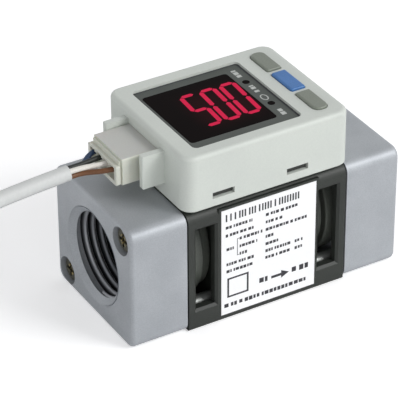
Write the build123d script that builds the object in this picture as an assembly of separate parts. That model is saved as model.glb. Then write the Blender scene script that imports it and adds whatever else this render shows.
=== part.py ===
"""Digital flow switch: two threaded port blocks, a moulded sensor body between them and a display head.

Millimetres. X runs along the flow from inlet to outlet, -Y is the labelled front and Z is up.
The origin is the bottom centre of the body, which stands on Z = 0.
"""

import math
import os

from build123d import *

# Overall, with the two port blocks
LENGTH = 64.0
WIDTH = 32.0
BODY_HEIGHT = 28.0
CORNER_RADIUS = 2.3
FOOT_RADIUS = 0.6
BLOCK_EDGE = 0.9
FLOW_Z = BODY_HEIGHT / 2
HALF_LENGTH = LENGTH / 2
HALF_WIDTH = WIDTH / 2

# Moulded body: an open bay at each end, as deep as the flanges in it, and a bored middle
MIDDLE_LENGTH = 23.1
COLLAR_LENGTH = 7.5
COLLAR_GAP = 0.7
SHOULDER_LENGTH = 3.2
FLANGE_SPACE = 0.8
TUBE_FLANGE = 2.9
SIDE_WALL = 2.0
CAP_WALL = 0.9
BAY_RADIUS = 1.5
JOINT_GROOVE_WIDTH = 0.35
JOINT_GROOVE_DEPTH = 0.5
INLET_BAY_DEPTH = COLLAR_LENGTH + COLLAR_GAP
OUTLET_BAY_DEPTH = SHOULDER_LENGTH + FLANGE_SPACE + TUBE_FLANGE
BODY_END = (INLET_BAY_DEPTH + MIDDLE_LENGTH + OUTLET_BAY_DEPTH) / 2
MIDDLE_START = INLET_BAY_DEPTH - BODY_END
MIDDLE_END = BODY_END - OUTLET_BAY_DEPTH

# Pipe thread of the ports, at its major diameter
THREAD_DIAMETER = 20.955
THREAD_RADIUS = THREAD_DIAMETER / 2
PORT_CHAMFER = 0.35

# Bolts that clamp the blocks to the body
BOLT_DIAMETER = 3.0
BOLT_RADIUS = BOLT_DIAMETER / 2
BOLT_ENGAGEMENT = 6.6
BOLT_HEAD_RADIUS = 2.75
BOLT_HEAD_HEIGHT = 2.0
BOLT_HEAD_ROUND = 0.8
BOLT_HEAD_DROP = 0.7
BOLT_CLEARANCE = 0.15
BOLT_THREAD_FIT = 0.025
BOLT_HOLE_SPARE = 0.5
BOLT_EDGE_Y = 4.2
BOLT_EDGE_Z = 3.6
COUNTERBORE_RADIUS = 3.1
COUNTERBORE_DEPTH = BOLT_HEAD_DROP + BOLT_HEAD_HEIGHT
RECESS_WIDTH = 0.7
RECESS_LENGTH = 3.2
RECESS_DEPTH = 1.2
BOLT_Y = HALF_WIDTH - BOLT_EDGE_Y
BOLT_Z = FLOW_Z - BOLT_EDGE_Z
BOLT_TIP = -BODY_END - BOLT_ENGAGEMENT

# Windows in the front and back walls, and the label between them
WINDOW_WIDTH = 4.5
WINDOW_BORDER = 2.2
WINDOW_BOTTOM = 4.8
WINDOW_TOP_BORDER = 4.0
WINDOW_BEVEL = 0.5
LABEL_BORDER = 1.1
LABEL_BOTTOM = 1.25
LABEL_OFFSET = 0.2
LABEL_THICKNESS = 0.2
LABEL_GAP = 0.1
LABEL_PAD_MARGIN = 0.6
LABEL_PAD_DEPTH = 3.0
WINDOW_INNER = BODY_END - WINDOW_BORDER - WINDOW_WIDTH
WINDOW_HEIGHT = BODY_HEIGHT - WINDOW_BOTTOM - WINDOW_TOP_BORDER
LABEL_WIDTH = 2 * (WINDOW_INNER - LABEL_BORDER)
LABEL_HEIGHT = BODY_HEIGHT - 2 * LABEL_BOTTOM

# Flow tube and its inlet collar
FLANGE_FIT = 0.1
FLANGE_HEIGHT = 2.0
FLANGE_BEVEL = 0.3
TUBE_WALL = 3.0
TUBE_FIT = 0.15
DIFFUSER_STEP = 1.2
DIFFUSER_LENGTH = 6.1
COLLAR_FLANGE = 5.7
COLLAR_STEP = 0.9
SOCKET_DEPTH = 3.4
SOCKET_FIT = 0.05
SHOULDER_HEIGHT = 1.2
FLANGE_RADIUS = min(FLOW_Z - CAP_WALL, HALF_WIDTH - SIDE_WALL) - FLANGE_FIT
TUBE_RADIUS = FLANGE_RADIUS - FLANGE_HEIGHT
TUBE_BORE = TUBE_RADIUS - TUBE_WALL
PORT_BORE = TUBE_BORE + DIFFUSER_STEP
SHOULDER_RADIUS = TUBE_RADIUS + SHOULDER_HEIGHT
COLLAR_END = COLLAR_LENGTH - BODY_END
TUBE_START = COLLAR_END - SOCKET_DEPTH

# Screens held between the collar and the tube
SCREEN_THICKNESS = 0.3
SCREEN_FIT = 0.05
SCREEN_SEAT = 0.8
SCREEN_EDGE = 1.6
SCREEN_PITCH = 2.0
SCREEN_WIRE = 0.5
SPACER_THICKNESS = 0.9
SCREEN_COUNT = 2
SCREEN_POCKET = TUBE_RADIUS - SCREEN_SEAT
SCREEN_OPEN_RADIUS = SCREEN_POCKET - SCREEN_EDGE
SCREEN_STACK = SCREEN_COUNT * (SCREEN_THICKNESS + SPACER_THICKNESS)

# Seals
FACE_SEAL_INSET = 1.3
FACE_SEAL_SECTION = 0.55
FACE_GROOVE_WIDTH = 1.6
FACE_GROOVE_DEPTH = 1.15
SOCKET_SEAL_SECTION = 0.43
SOCKET_GROOVE_WIDTH = 1.0
SOCKET_GROOVE_DEPTH = 0.85
SOCKET_GROOVE_OFFSET = 1.1
FACE_SEAL_RADIUS = FLANGE_RADIUS - FACE_SEAL_INSET

# Sensor on top of the flow tube
BOSS_RISE = 0.2
BOSS_WIDTH = 10.0
BOSS_FIT = 0.2
BOSS_INSET = 1.0
CHAMBER_WALL = 2.9
CHAMBER_WIDTH = 16.0
SENSOR_BOARD_GAP = 0.2
SENSOR_BOARD_THICKNESS = 0.8
GASKET_INSET = 0.7
GASKET_WIDTH = (1.5, 1.2)
GASKET_GROOVE = 0.6
GASKET_GAP = 0.05
CHIP_SIDE = 3.0
CHIP_THICKNESS = 0.8
WELL_INSET = (0.8, 0.6)
WELL_DEPTH = 1.8
SENSE_PORT_RADIUS = 0.8
SENSE_PORT_INSET = 1.4
CHAMBER_LENGTH = -2 * (MIDDLE_START + CHAMBER_WALL)
BOSS_LENGTH = CHAMBER_LENGTH - 2 * BOSS_INSET
BOSS_TOP = FLOW_Z + TUBE_RADIUS + BOSS_RISE
CHAMBER_FLOOR = BOSS_TOP + BOSS_FIT
GASKET_OUTER = (BOSS_LENGTH - 2 * GASKET_INSET, BOSS_WIDTH - 2 * GASKET_INSET)
GASKET_INNER = [outer - 2 * width for outer, width in zip(GASKET_OUTER, GASKET_WIDTH)]
WELL_LENGTH, WELL_WIDTH = (inner - 2 * inset for inner, inset in zip(GASKET_INNER, WELL_INSET))

# Face of the display head: left border, panel, keys and right border
PANEL_LENGTH = 25.1
PANEL_BORDERS = (4.015, 3.2, 3.65)
PANEL_TO_KEYS = 3.185
KEY_WIDTH = 3.4
KEY_BORDER = 3.3
HEAD_LENGTH = PANEL_BORDERS[0] + PANEL_LENGTH + PANEL_TO_KEYS + KEY_WIDTH + KEY_BORDER
HALF_HEAD = HEAD_LENGTH / 2

# Case of the display head, a little wider than the body
HEAD_PROUD = 0.2
HEAD_HEIGHT = 12.8
HEAD_WALL = 1.6
HEAD_CORNER = 2.8
HEAD_TOP_ROUND = 1.0
HEAD_FOOT_BEVEL = 0.3
HEAD_WIDTH = WIDTH + 2 * HEAD_PROUD
HALF_HEAD_WIDTH = HEAD_WIDTH / 2
INNER_X = HALF_HEAD - HEAD_WALL
INNER_Y = HALF_HEAD_WIDTH - HEAD_WALL
INNER_CORNER = HEAD_CORNER - HEAD_WALL

# Flat gasket under the head
NECK_HEIGHT = 0.6
NECK_INSET = (2.5, 2.7)
NECK_OPENING_MARGIN = 0.5
NECK_OPENING_CORNER = 1.0
NECK_LENGTH = HEAD_LENGTH - 2 * NECK_INSET[0]
NECK_WIDTH = HEAD_WIDTH - 2 * NECK_INSET[1]
HEAD_BOTTOM = BODY_HEIGHT + NECK_HEIGHT
HEAD_TOP = HEAD_BOTTOM + HEAD_HEIGHT
HEAD_CEILING = HEAD_TOP - HEAD_WALL

# Base that snaps into the head from below
BASE_FIT = 0.1
BASE_THICKNESS = 1.6
BASE_TOP = HEAD_BOTTOM + BASE_THICKNESS
SLOT_WIDTH = 5.1
SLOT_HEIGHT = 1.4
SLOT_LIFT = 2.0
SLOT_INSETS = (8.8, 12.8)
HOOK_THICKNESS = 1.0
HOOK_SIDE_GAP = 0.25
HOOK_END_GAP = 0.2
HOOK_REACH = 1.1
POST_RADIUS = 1.5
POST_INSET = 2.0
SLOT_BOTTOM = HEAD_BOTTOM + SLOT_LIFT
SLOT_CENTRES = (SLOT_INSETS[0] - HALF_HEAD, HALF_HEAD - SLOT_INSETS[1])

# Screws that hold the base to the body
SCREW_RADIUS = 0.8
SCREW_FIT = 0.05
SCREW_HEAD_RADIUS = 1.6
SCREW_HEAD_HEIGHT = 1.2
SCREW_LENGTH = 6.0
SCREW_INSET = 1.5
SCREW_SPACE = 0.9
SCREW_X = -MIDDLE_START - SCREW_INSET
SCREW_Y = CHAMBER_WIDTH / 2 + SCREW_SPACE

# Panel and window let into the top of the head
PANEL_GAP = 0.15
PANEL_CORNER = 1.2
PANEL_DROP = 0.5
PANEL_THICKNESS = 0.5
PANEL_LEDGE = 0.6
GLASS_BORDERS = (0.885, 4.115, 2.7, 2.55)
GLASS_GAP = 0.08
GLASS_CORNER = 0.8
PANEL_X = PANEL_BORDERS[0] + PANEL_LENGTH / 2 - HALF_HEAD
PANEL_Y = (PANEL_BORDERS[1] - PANEL_BORDERS[2]) / 2
PANEL_WIDTH = HEAD_WIDTH - PANEL_BORDERS[1] - PANEL_BORDERS[2]
PANEL_TOP = HEAD_TOP - PANEL_DROP
PANEL_BOTTOM = PANEL_TOP - PANEL_THICKNESS
GLASS_LENGTH = PANEL_LENGTH - GLASS_BORDERS[0] - GLASS_BORDERS[1]
GLASS_WIDTH = PANEL_WIDTH - GLASS_BORDERS[2] - GLASS_BORDERS[3]
GLASS_X = PANEL_X + (GLASS_BORDERS[0] - GLASS_BORDERS[1]) / 2
GLASS_Y = PANEL_Y + (GLASS_BORDERS[2] - GLASS_BORDERS[3]) / 2

# Keys to the right of the panel
KEY_GAP = 0.15
KEY_PROUD = 0.5
KEY_TRAVEL = 0.3
KEY_CLEARANCE = 0.05
KEY_FLANGE = 0.5
KEY_FLANGE_THICKNESS = 0.8
KEY_EDGE = 0.35
KEY_ROUND = 1.5
KEY_SQUARE = 0.4
KEY_ROW_BORDER = 3.1
KEY_BREAK = 1.3
SET_KEY_LENGTH = 8.0
PLUNGER_RADIUS = 0.8
PLUNGER_LENGTH = 0.25
KEY_X = HALF_HEAD - KEY_BORDER - KEY_WIDTH / 2
KEY_ROW = HEAD_WIDTH - 2 * KEY_ROW_BORDER
SIDE_KEY_LENGTH = (KEY_ROW - SET_KEY_LENGTH) / 2 - KEY_BREAK
KEY_SPACING = (SET_KEY_LENGTH + SIDE_KEY_LENGTH) / 2 + KEY_BREAK
KEY_TOP = HEAD_TOP + KEY_PROUD
FLANGE_TOP = HEAD_CEILING - KEY_CLEARANCE
FLANGE_BOTTOM = FLANGE_TOP - KEY_FLANGE_THICKNESS
PLUNGER_END = FLANGE_BOTTOM - PLUNGER_LENGTH

# Socket in the left wall of the head and the plug in it
PLUG_WIDTH = 11.75
PLUG_Y = 0.725
PLUG_LIFT = 3.7
PLUG_HEIGHT = 6.1
PLUG_LENGTH = 8.2
PLUG_SEAT = 0.2
PLUG_FIT = 0.1
PLUG_EDGE = 0.4
PLUG_NECK = 0.5
PLUG_NECK_INSET = 0.5
PLUG_LIP = 0.9
PLUG_LIP_DROP = 1.4
PLUG_LIP_LIFT = 0.3
PLUG_MOUTH_WALL = 0.9
PLUG_MOUTH_DEPTH = 1.2
PLUG_FRONT_WALL = 0.9
PIN_SIDE = 0.5
PIN_LIFT = 3.3
PIN_PITCH = 2.7
PIN_COUNT = 4
PIN_FIT = 0.05
PIN_REACH = 4.9
PIN_TAIL = 2.6
CONTACT_SIDE = 1.6
CONTACT_GAP = 0.05
CONTACT_REAR = 1.4
CRIMP_DEPTH = 1.7
HEADER_DEPTH = 2.8
HEADER_MARGIN = 1.0
HEADER_GAP = 0.05
CHEEK_LENGTH = 5.1
CHEEK_THICKNESS = 1.4
CHEEK_DROP = 0.3
CHEEK_HEIGHT = 7.5
CHEEK_GAPS = (1.45, 0.3)
CHEEK_EDGE = 0.3
PLUG_BOTTOM = HEAD_BOTTOM + PLUG_LIFT
PLUG_FRONT = PLUG_SEAT - HALF_HEAD
PLUG_REAR = PLUG_FRONT - PLUG_LENGTH
PLUG_END = PLUG_REAR - PLUG_NECK - PLUG_LIP
PLUG_TOP = PLUG_BOTTOM + PLUG_HEIGHT
PIN_Z = PLUG_BOTTOM + PIN_LIFT
CHEEK_BOTTOM = PLUG_BOTTOM - CHEEK_DROP
PLUG_NEAR = PLUG_Y - PLUG_WIDTH / 2
PLUG_FAR = PLUG_Y + PLUG_WIDTH / 2
CONTACT_START = PLUG_REAR + CONTACT_REAR
CONTACT_END = PLUG_FRONT - PLUG_FRONT_WALL
PIN_YS = [PLUG_Y + PIN_PITCH * (i - (PIN_COUNT - 1) / 2) for i in range(PIN_COUNT)]

# Main board and what stands on it
BOARD_THICKNESS = 1.0
BOARD_EDGE_GAP = 0.7
BOARD_HEADER_GAP = 0.3
MODULE_MARGIN = 0.7
LED_RADIUS = 0.9
LED_INSET = 1.55
LED_Y = (-5.5, 4.3)
LED_GAP = 0.05
SWITCH_WIDTH = 3.6
SWITCH_LENGTH = 4.4
SWITCH_HEIGHT = 1.1
LINK_WIDTH = 7.6
LINK_THICKNESS = 2.2
LINK_GAP = 0.3
BOARD_BOTTOM = PIN_Z + PIN_SIDE / 2
BOARD_TOP = BOARD_BOTTOM + BOARD_THICKNESS
BOARD_LEFT = HEADER_DEPTH + BOARD_HEADER_GAP - INNER_X
LED_X = GLASS_X + GLASS_LENGTH / 2 + LED_INSET

# Cable: four leads, the sheath over them and the coil of its spare length
LEAD_RADIUS = 0.55
LEAD_FIT = 0.02
CORE_SPACING = 1.2
LEAD_BEND = 0.5
LEAD_GATHER = 2.9
SHEATH_RADIUS = 1.65
SHEATH_ROUTE = (
    (-36.6, 0.8, 35.1),
    (-46.5, 0.6, 34.6),
    (-57.6, 0.2, 33.6),
    (-68.2, -3.4, 30.0),
    (-77.8, -8.8, 24.9),
    (-87.0, -12.6, 20.6),
    (-97.0, -13.2, 18.15),
)
COIL_CENTRE = (-95.0, 6.6)
COIL_RADIUS = 16.5
COIL_COLUMNS = 3
COIL_ROWS = 6
TIE_WIDTH = 4.0
TIE_THICKNESS = 0.6
COIL_WIDTH = COIL_COLUMNS * 2 * SHEATH_RADIUS
COIL_HEIGHT = COIL_ROWS * 2 * SHEATH_RADIUS


def block(x0, x1, y0, y1, z0, z1):
    """Box between two corners."""
    centre = Pos((x0 + x1) / 2, (y0 + y1) / 2, (z0 + z1) / 2)
    return centre * Box(x1 - x0, y1 - y0, z1 - z0)


def rod(radius, x0, x1, y=0.0, z=FLOW_Z):
    """Cylinder along X."""
    return Pos((x0 + x1) / 2, y, z) * Rot(0, 90, 0) * Cylinder(radius, x1 - x0)


def post(radius, x, y, z0, z1):
    """Cylinder along Z."""
    return Pos(x, y, (z0 + z1) / 2) * Cylinder(radius, z1 - z0)


def plate(x, y, length, width, corner, z0, z1):
    """Flat plate with rounded corners, centred on (x, y)."""
    outline = Pos(x, y, z0) * RectangleRounded(length, width, corner)
    return extrude(outline, z1 - z0)


def turned(*corners):
    """Solid turned about the flow axis from (x, radius) corners."""
    outline = Polyline(*[(x, 0, FLOW_Z + radius) for x, radius in corners], close=True)
    return revolve(make_face(outline), Axis((0, 0, FLOW_Z), (1, 0, 0)))


def across_flow(outline, x0, x1):
    """Outline drawn across the flow, extruded from x0 to x1."""
    return extrude(Plane.YZ.offset(x0) * Pos(0, FLOW_Z) * outline, x1 - x0)


def bolt_places(side):
    """(y, z) of the two bolts whose heads sit in one block: side -1 is the inlet, +1 the outlet."""
    return [(side * BOLT_Y, FLOW_Z + BOLT_Z), (-side * BOLT_Y, FLOW_Z - BOLT_Z)]


def port_block():
    """Inlet block: threaded port, two counterbored holes for its bolts and two tapped ones."""
    outline = RectangleRounded(WIDTH, BODY_HEIGHT, CORNER_RADIUS)
    body = across_flow(outline, -HALF_LENGTH, -BODY_END)
    body = fillet(body.faces().sort_by(Axis.X)[0].edges(), BLOCK_EDGE)
    body -= turned(
        (-HALF_LENGTH, 0),
        (-HALF_LENGTH, THREAD_RADIUS + PORT_CHAMFER),
        (-HALF_LENGTH + PORT_CHAMFER, THREAD_RADIUS),
        (-BODY_END, THREAD_RADIUS),
        (-BODY_END, 0),
    )
    for y, z in bolt_places(-1):
        body -= rod(COUNTERBORE_RADIUS, -HALF_LENGTH, -HALF_LENGTH + COUNTERBORE_DEPTH, y, z)
        body -= rod(BOLT_RADIUS + BOLT_CLEARANCE, -HALF_LENGTH, -BODY_END, y, z)
    for y, z in bolt_places(1):
        body -= rod(BOLT_RADIUS + BOLT_THREAD_FIT, BOLT_TIP - BOLT_HOLE_SPARE, -BODY_END, y, z)
    return body


def tie_bolts():
    """The two pan-head bolts of the inlet block, along X."""
    under_head = -HALF_LENGTH + COUNTERBORE_DEPTH
    head_top = under_head - BOLT_HEAD_HEIGHT
    bolts = []
    for y, z in bolt_places(-1):
        head = rod(BOLT_HEAD_RADIUS, head_top, under_head, y, z)
        head = fillet(head.edges().sort_by(Axis.X)[0], BOLT_HEAD_ROUND)
        reach = (RECESS_LENGTH / 2, RECESS_WIDTH / 2)
        for dy, dz in (reach, reach[::-1]):
            head -= block(head_top, head_top + RECESS_DEPTH, y - dy, y + dy, z - dz, z + dz)
        shank = rod(BOLT_RADIUS, under_head, -BOLT_TIP, y, z)
        bolts.append(head + shank)
    return bolts


def body_outline(inset):
    """Body section across the flow, round at the top and nearly sharp at the foot."""
    outline = Rectangle(WIDTH - 2 * inset, BODY_HEIGHT - 2 * inset)
    outline = fillet(outline.vertices().group_by(Axis.Y)[-1], CORNER_RADIUS - inset)
    return fillet(outline.vertices().group_by(Axis.Y)[0], FOOT_RADIUS)


def body_frame():
    """Moulded body: bays for the flanges, bore for the tube, windows and a chamber for the sensor."""
    groove = BODY_END - JOINT_GROOVE_WIDTH
    body = across_flow(body_outline(0), -groove, groove)
    body += across_flow(body_outline(JOINT_GROOVE_DEPTH), -BODY_END, BODY_END)
    pad_half = LABEL_WIDTH / 2 + LABEL_PAD_MARGIN
    body += block(
        LABEL_OFFSET - pad_half,
        LABEL_OFFSET + pad_half,
        -HALF_WIDTH,
        LABEL_PAD_DEPTH - HALF_WIDTH,
        LABEL_BOTTOM - LABEL_PAD_MARGIN,
        LABEL_BOTTOM + LABEL_HEIGHT + LABEL_PAD_MARGIN,
    )
    bay = RectangleRounded(WIDTH - 2 * SIDE_WALL, BODY_HEIGHT - 2 * CAP_WALL, BAY_RADIUS)
    body -= across_flow(bay, -BODY_END, MIDDLE_START)
    body -= across_flow(bay, MIDDLE_END, BODY_END)
    body -= rod(TUBE_RADIUS + TUBE_FIT, MIDDLE_START, MIDDLE_END)
    for y, z in bolt_places(-1) + bolt_places(1):
        body -= rod(BOLT_RADIUS + BOLT_CLEARANCE, MIDDLE_START, MIDDLE_END, y, z)
    key = BOSS_WIDTH / 2 + BOSS_FIT
    body -= block(-BOSS_LENGTH / 2 - BOSS_FIT, MIDDLE_END, -key, key, FLOW_Z, CHAMBER_FLOOR)
    half_length, half_width = CHAMBER_LENGTH / 2, CHAMBER_WIDTH / 2
    body -= block(-half_length, half_length, -half_width, half_width, CHAMBER_FLOOR, BODY_HEIGHT)
    for x, y in screw_places():
        body -= post(SCREW_RADIUS + SCREW_FIT, x, y, screw_tip() - SCREW_FIT, BODY_HEIGHT)
    body -= windows()
    return body - label_plate(LABEL_GAP)


def windows():
    """Cutters for the four windows, each with a bevelled outer edge."""
    cutters = []
    for side in (-1, 1):
        x = side * (WINDOW_INNER + WINDOW_WIDTH / 2)
        z = WINDOW_BOTTOM + WINDOW_HEIGHT / 2
        for plane in (Plane.XZ, Plane.XZ.rotated((0, 0, 180))):
            face = plane.offset(HALF_WIDTH) * Pos(x, z) * Rectangle(WINDOW_WIDTH, WINDOW_HEIGHT)
            cutters.append(extrude(face, -SIDE_WALL - BAY_RADIUS))
            flare = offset(face, WINDOW_BEVEL, kind=Kind.INTERSECTION)
            cutters.append(extrude(flare, -WINDOW_BEVEL, taper=45))
    return cutters


def label_plate(gap=0.0):
    """Name label let into the front, or with a gap the recess for it."""
    half = LABEL_WIDTH / 2 + gap
    return block(
        LABEL_OFFSET - half,
        LABEL_OFFSET + half,
        -HALF_WIDTH,
        -HALF_WIDTH + LABEL_THICKNESS,
        LABEL_BOTTOM - gap,
        LABEL_BOTTOM + LABEL_HEIGHT + gap,
    )


def face_groove(x, direction):
    """Cutter for the seal groove in an end face at x that looks towards direction."""
    inner = FACE_SEAL_RADIUS - FACE_GROOVE_WIDTH / 2
    outer = FACE_SEAL_RADIUS + FACE_GROOVE_WIDTH / 2
    floor = x - direction * FACE_GROOVE_DEPTH
    return turned((x, inner), (x, outer), (floor, outer), (floor, inner))


def inlet_collar():
    """Collar at the inlet: face seal, pocket for the screens and a socket for the tube."""
    start = -BODY_END
    pocket = TUBE_START - SCREEN_STACK
    step = start + COLLAR_FLANGE
    socket = TUBE_RADIUS + SOCKET_FIT
    collar = turned(
        (start, PORT_BORE),
        (start, FLANGE_RADIUS),
        (step - FLANGE_BEVEL, FLANGE_RADIUS),
        (step, FLANGE_RADIUS - FLANGE_BEVEL),
        (step, FLANGE_RADIUS - COLLAR_STEP),
        (COLLAR_END, FLANGE_RADIUS - COLLAR_STEP),
        (COLLAR_END, socket),
        (TUBE_START, socket),
        (TUBE_START, SCREEN_POCKET),
        (pocket, SCREEN_POCKET),
        (pocket, PORT_BORE),
    )
    return collar - face_groove(start, -1)


def flow_tube():
    """Tube with its outlet flange, a diffuser to the port and the boss that carries the sensor."""
    flange = BODY_END - TUBE_FLANGE
    entry = SCREEN_OPEN_RADIUS - TUBE_BORE
    tube = turned(
        (TUBE_START, 0),
        (TUBE_START, TUBE_RADIUS),
        (MIDDLE_END, TUBE_RADIUS),
        (MIDDLE_END, SHOULDER_RADIUS),
        (MIDDLE_END + SHOULDER_LENGTH, SHOULDER_RADIUS),
        (MIDDLE_END + SHOULDER_LENGTH, TUBE_RADIUS),
        (flange, TUBE_RADIUS),
        (flange, FLANGE_RADIUS - FLANGE_BEVEL),
        (flange + FLANGE_BEVEL, FLANGE_RADIUS),
        (BODY_END, FLANGE_RADIUS),
        (BODY_END, 0),
    )
    half_length, half_width = BOSS_LENGTH / 2, BOSS_WIDTH / 2
    tube += block(-half_length, half_length, -half_width, half_width, FLOW_Z, BOSS_TOP)
    tube -= turned(
        (TUBE_START, 0),
        (TUBE_START, SCREEN_OPEN_RADIUS),
        (TUBE_START + entry, TUBE_BORE),
        (BODY_END - DIFFUSER_LENGTH, TUBE_BORE),
        (BODY_END, PORT_BORE),
        (BODY_END, 0),
    )
    tube -= face_groove(BODY_END, 1)
    groove = TUBE_START + SOCKET_GROOVE_OFFSET
    floor = TUBE_RADIUS - SOCKET_GROOVE_DEPTH
    tube -= turned(
        (groove, floor),
        (groove, TUBE_RADIUS),
        (groove + SOCKET_GROOVE_WIDTH, TUBE_RADIUS),
        (groove + SOCKET_GROOVE_WIDTH, floor),
    )
    tube -= gasket_ring(BOSS_TOP - GASKET_GROOVE, BOSS_TOP, GASKET_GAP)
    well = BOSS_TOP - WELL_DEPTH
    tube -= block(-WELL_LENGTH / 2, WELL_LENGTH / 2, -WELL_WIDTH / 2, WELL_WIDTH / 2, well, BOSS_TOP)
    for side in (-1, 1):
        tube -= post(SENSE_PORT_RADIUS, side * (WELL_LENGTH / 2 - SENSE_PORT_INSET), 0, FLOW_Z, well)
    return tube


def gasket_ring(z0, z1, gap=0.0):
    """Flat frame round the sensor's well, or with a gap the groove for it."""
    frame = []
    for (length, width), grow in ((GASKET_OUTER, gap), (GASKET_INNER, -gap)):
        half_length, half_width = length / 2 + grow, width / 2 + grow
        frame.append(block(-half_length, half_length, -half_width, half_width, z0, z1))
    return frame[0] - frame[1]


def flow_screens():
    """Two punched screens, each backed by a spacer ring."""
    screens = []
    for i in range(SCREEN_COUNT):
        x0 = TUBE_START - SCREEN_STACK + i * (SCREEN_THICKNESS + SPACER_THICKNESS)
        x1 = x0 + SCREEN_THICKNESS
        hole = (SCREEN_PITCH - SCREEN_WIRE) / 2
        reach = int(SCREEN_OPEN_RADIUS / SCREEN_PITCH)
        steps = range(-reach, reach + 1)
        places = [(j * SCREEN_PITCH, k * SCREEN_PITCH) for j in steps for k in steps]
        holes = [
            block(x0, x1, y - hole, y + hole, FLOW_Z + z - hole, FLOW_Z + z + hole)
            for y, z in places
            if math.hypot(abs(y) + hole, abs(z) + hole) < SCREEN_OPEN_RADIUS
        ]
        screens.append(rod(SCREEN_POCKET - SCREEN_FIT, x0, x1) - holes)
    return screens


def spacer_rings():
    """Rings that keep the screens apart and off the tube."""
    rings = []
    for i in range(SCREEN_COUNT):
        x1 = TUBE_START - i * (SCREEN_THICKNESS + SPACER_THICKNESS)
        x0 = x1 - SPACER_THICKNESS
        rings.append(rod(SCREEN_POCKET - SCREEN_FIT, x0, x1) - rod(SCREEN_OPEN_RADIUS, x0, x1))
    return rings


def seal(radius, section, x):
    """O-ring about the flow axis."""
    return Pos(x, 0, FLOW_Z) * Rot(0, 90, 0) * Torus(radius, section)


def sensor_board():
    """Board that closes the sensor's chamber."""
    half_length = CHAMBER_LENGTH / 2 - SENSOR_BOARD_GAP
    half_width = CHAMBER_WIDTH / 2 - SENSOR_BOARD_GAP
    top = CHAMBER_FLOOR + SENSOR_BOARD_THICKNESS
    return block(-half_length, half_length, -half_width, half_width, CHAMBER_FLOOR, top)


def flow_chip():
    """Sensing chip on the underside of its board, in the well of the tube."""
    half = CHIP_SIDE / 2
    return block(-half, half, -half, half, CHAMBER_FLOOR - CHIP_THICKNESS, CHAMBER_FLOOR)


def board_link(gap=0.0, z0=CHAMBER_FLOOR + SENSOR_BOARD_THICKNESS, z1=BOARD_BOTTOM):
    """Link strip from the sensor's board to the main board, or with a gap the hole for it."""
    half_width, half_thickness = LINK_WIDTH / 2 + gap, LINK_THICKNESS / 2 + gap
    return block(-half_width, half_width, -half_thickness, half_thickness, z0, z1)


def screw_places():
    """(x, y) of the four screws through the head's base."""
    return [(x, y) for x in (-SCREW_X, SCREW_X) for y in (-SCREW_Y, SCREW_Y)]


def screw_tip():
    """Height of the screws' lower ends."""
    return BASE_TOP - SCREW_LENGTH


def head_gasket():
    """Flat seal between the body and the head."""
    gasket = plate(0, 0, NECK_LENGTH, NECK_WIDTH, CORNER_RADIUS, BODY_HEIGHT, HEAD_BOTTOM)
    opening = (CHAMBER_LENGTH + 2 * NECK_OPENING_MARGIN, CHAMBER_WIDTH + 2 * NECK_OPENING_MARGIN)
    gasket -= plate(0, 0, *opening, NECK_OPENING_CORNER, BODY_HEIGHT, HEAD_BOTTOM)
    for x, y in screw_places():
        gasket -= post(SCREW_RADIUS + SCREW_FIT, x, y, BODY_HEIGHT, HEAD_BOTTOM)
    return gasket


def head_base():
    """Base plate with posts under the main board and hooks that snap into the head's slots."""
    length, width = 2 * (INNER_X - BASE_FIT), 2 * (INNER_Y - BASE_FIT)
    base = plate(0, 0, length, width, INNER_CORNER, HEAD_BOTTOM, BASE_TOP)
    for x, y in post_places():
        base += post(POST_RADIUS, x, y, BASE_TOP, BOARD_BOTTOM)
    hook_top = SLOT_BOTTOM + SLOT_HEIGHT - HOOK_END_GAP
    half = SLOT_WIDTH / 2 - HOOK_SIDE_GAP
    wall = width / 2
    for x in SLOT_CENTRES:
        for side in (-1, 1):
            for inner, outer, bottom in (
                (wall - HOOK_THICKNESS, wall, BASE_TOP),
                (wall, wall + HOOK_REACH, SLOT_BOTTOM + HOOK_END_GAP),
            ):
                y0, y1 = sorted((side * inner, side * outer))
                base += block(x - half, x + half, y0, y1, bottom, hook_top)
    for x, y in screw_places():
        base -= post(SCREW_RADIUS + SCREW_FIT, x, y, HEAD_BOTTOM, BASE_TOP)
    return base - board_link(LINK_GAP, HEAD_BOTTOM, BASE_TOP)


def post_places():
    """(x, y) of the four posts that carry the main board."""
    y = INNER_Y - POST_RADIUS - POST_INSET
    return [(x, side * y) for x in (BOARD_LEFT + POST_INSET, KEY_X) for side in (-1, 1)]


def head_screws():
    """Screws from the base down into the body."""
    screws = []
    for x, y in screw_places():
        head = post(SCREW_HEAD_RADIUS, x, y, BASE_TOP, BASE_TOP + SCREW_HEAD_HEIGHT)
        screws.append(head + post(SCREW_RADIUS, x, y, screw_tip(), BASE_TOP))
    return screws


def key_outline(length, far_round, near_round):
    """Key seen from above, with its own corner radius at the far and the near end."""
    outline = Rectangle(KEY_WIDTH, length)
    outline = fillet(outline.vertices().group_by(Axis.Y)[-1], far_round)
    return fillet(outline.vertices().group_by(Axis.Y)[0], near_round)


KEYS = {
    "up_key": (KEY_SPACING, SIDE_KEY_LENGTH, KEY_ROUND, KEY_SQUARE),
    "set_key": (0.0, SET_KEY_LENGTH, KEY_SQUARE, KEY_SQUARE),
    "down_key": (-KEY_SPACING, SIDE_KEY_LENGTH, KEY_SQUARE, KEY_ROUND),
}


def key(y, length, far_round, near_round):
    """Key cap with the flange that keeps it in the case and the plunger over its switch."""
    outline = key_outline(length, far_round, near_round)
    cap = extrude(Pos(KEY_X, y, FLANGE_BOTTOM) * outline, KEY_TOP - FLANGE_BOTTOM)
    cap = fillet(cap.faces().sort_by(Axis.Z)[-1].edges(), KEY_EDGE)
    cap += extrude(Pos(KEY_X, y, FLANGE_BOTTOM) * offset(outline, KEY_FLANGE), KEY_FLANGE_THICKNESS)
    return cap + post(PLUNGER_RADIUS, KEY_X, y, PLUNGER_END, FLANGE_BOTTOM)


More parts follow.
